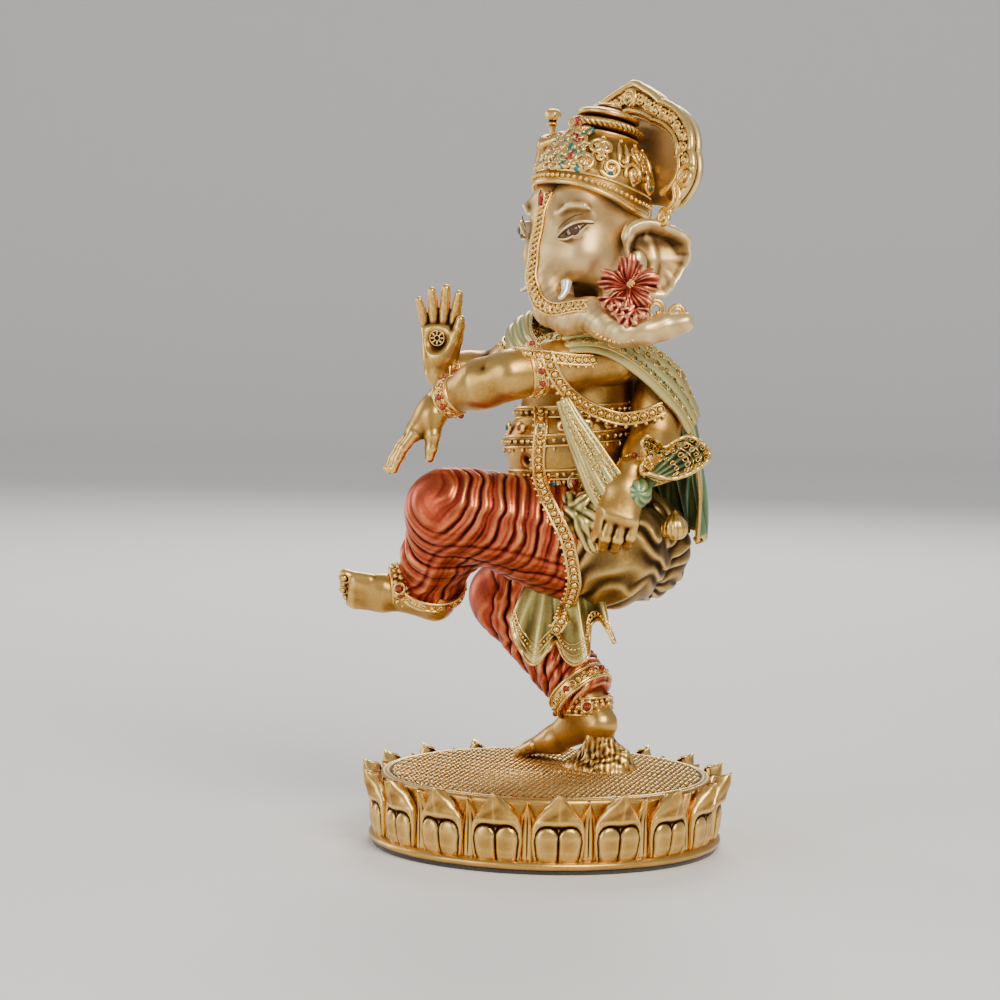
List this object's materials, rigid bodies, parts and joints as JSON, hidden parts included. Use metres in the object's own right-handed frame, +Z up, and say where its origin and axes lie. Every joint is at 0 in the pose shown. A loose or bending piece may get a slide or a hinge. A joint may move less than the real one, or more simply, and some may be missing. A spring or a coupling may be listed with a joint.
{
  "type": "dancing elephant-headed figure on a lotus base",
  "caption": "Antiqued brass dancing figure with an elephant head and four arms, one leg raised, on a round lotus base.",
  "frame": {"origin": "centre of the underside of the felt pad", "axes": "+Z up, figure faces -Y, its own left side is +X"},
  "size_m": [0.131, 0.1324, 0.2683],
  "materials": {
    "brass": "antiqued cast brass: satin highlights, brown patina in the recesses",
    "seed_brass": "antiqued, darker, stippled",
    "red_wash": "thin metallic red wash rubbed back to gold on the ridges",
    "green_wash": "verdigris green wash with gold on the ridges",
    "pearl_gold": "pale champagne metallic, satin",
    "jewels": "glossy enamel",
    "felt": "felt",
    "steel": "turned"
  },
  "bodies": {
    "root": {"lotus_base": "brass", "lotus_petals": "brass", "foot_support": "brass", "standing_foot": "brass", "standing_anklet": "brass", "standing_cuff": "brass", "raised_cuff": "brass", "raised_anklet": "brass", "raised_foot": "brass", "sash_knot": "brass", "torso": "brass", "waist_belt": "brass", "front_garland": "brass", "shawl_hem": "brass", "left_upper_arm": "brass", "left_armlet": "brass", "left_forearm": "brass", "left_bangle": "brass", "left_hand": "brass", "right_upper_arm": "brass", "right_forearm": "brass", "right_bangle": "brass", "right_hand": "brass", "rear_left_arm": "brass", "rear_left_bangle": "brass", "rear_left_hand": "brass", "sweet": "brass", "rear_right_arm": "brass", "rear_right_hand": "brass", "goad": "brass", "trunk_braid": "brass", "trunk_scroll": "brass", "crown_band": "brass", "crown_dome": "brass", "crown_finial": "brass", "halo_rim": "brass", "seed_disc": "seed_brass", "lotus_sepals": "seed_brass", "standing_leg": "red_wash", "raised_thigh": "red_wash", "raised_calf": "red_wash", "pelvis": "red_wash", "hibiscus": "red_wash", "sash_hem": "green_wash", "shoulder_scarf": "green_wash", "back_scarf": "green_wash", "front_sash": "green_wash", "scarf_knot": "green_wash", "scarf_end": "green_wash", "head": "pearl_gold", "trunk": "pearl_gold", "trunk_tip": "pearl_gold", "left_ear": "pearl_gold", "right_ear": "pearl_gold", "tusks": "pearl_gold", "halo_plate": "pearl_gold", "crown_jewels": "jewels", "felt_pad": "felt", "base_bolt": "steel", "dowel_pins": "steel"}
  },
  "joints": []
}
